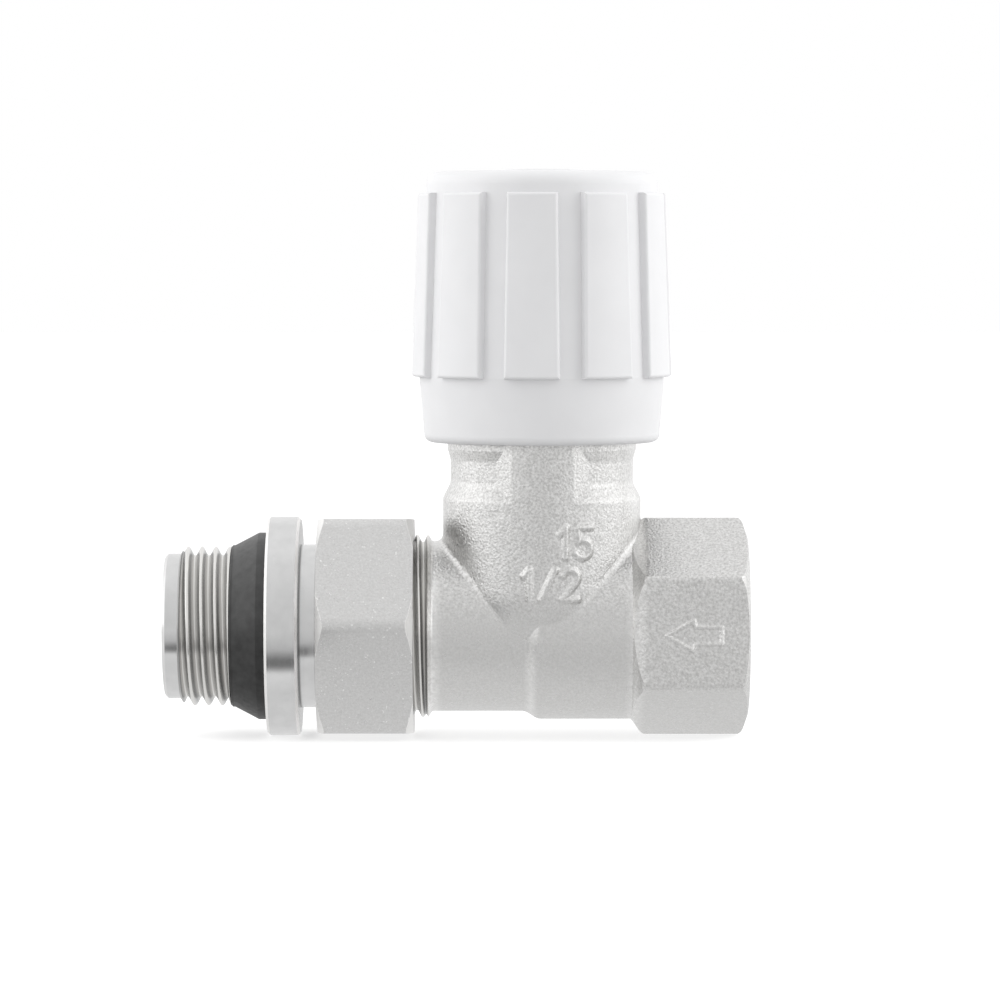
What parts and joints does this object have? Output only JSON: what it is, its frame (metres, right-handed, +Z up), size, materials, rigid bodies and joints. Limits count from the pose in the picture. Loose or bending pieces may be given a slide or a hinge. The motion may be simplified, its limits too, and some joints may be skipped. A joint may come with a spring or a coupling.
{
  "type": "manual radiator valve",
  "caption": "Straight manual radiator valve: nickel-plated body with a hexagon inlet socket, ribbed white handwheel, and a union nut that draws in a threaded tail with a rubber seal.",
  "frame": {"origin": "on the pipe axis in the plane where the inlet thread starts, 1 mm inside the inlet face", "axes": "+X out of the inlet socket along the pipe axis, +Z up along the spindle, +Y away from the side with the raised pad"},
  "size_m": [0.0765, 0.0342, 0.0745],
  "materials": {
    "blasted_nickel": "nickel plate over a blasted forging",
    "satin_nickel": "satin nickel plate with fine specks",
    "turned_nickel": "bright turned nickel plate",
    "bare_brass": "bare turned brass",
    "white_abs": "white moulding, slightly glossy",
    "black_rubber": "matte black EPDM",
    "fibre": "pressed fibre gasket",
    "steel": "zinc-plated steel"
  },
  "bodies": {
    "valve": {"valve_body": "blasted_nickel", "bonnet": "bare_brass", "bonnet_gasket": "fibre", "gland_nut": "bare_brass", "packing_o_ring_lower": "black_rubber", "packing_spacer": "bare_brass", "packing_o_ring_upper": "black_rubber"},
    "disc": {"disc_holder": "bare_brass", "disc_seal": "black_rubber", "disc_washer": "bare_brass", "disc_screw": "bare_brass"},
    "wheel": {"spindle": "bare_brass", "handwheel": "white_abs", "handwheel_washer": "steel", "handwheel_screw": "steel", "handwheel_cap": "white_abs"},
    "tail": {"union_tail": "turned_nickel", "tail_seal": "black_rubber", "union_o_ring": "black_rubber", "snap_ring": "steel"},
    "nut": {"union_nut": "satin_nickel"}
  },
  "joints": [
    {"name": "disc_lift", "type": "slide", "parent": "valve", "child": "disc", "axis": [0, 0, 1], "range_m": [0, 0.00375]},
    {"name": "handwheel_turn", "type": "hinge", "parent": "disc", "child": "wheel", "pos_m": [-0.026, 0, 0], "axis": [0, 0, 1], "range_deg": [0, 900]},
    {"name": "tail_draw", "type": "slide", "parent": "valve", "child": "tail", "axis": [-1, 0, 0], "range_m": [0, 0.0075]},
    {"name": "union_nut_turn", "type": "hinge", "parent": "tail", "child": "nut", "pos_m": [-0.05, 0, 0], "axis": [-1, 0, 0], "range_deg": [0, 1800]}
  ],
  "couplings": [
    {"joint": "handwheel_turn", "follows": "disc_lift", "rad_per_m": 4188.8},
    {"joint": "union_nut_turn", "follows": "tail_draw", "rad_per_m": 4188.8}
  ]
}
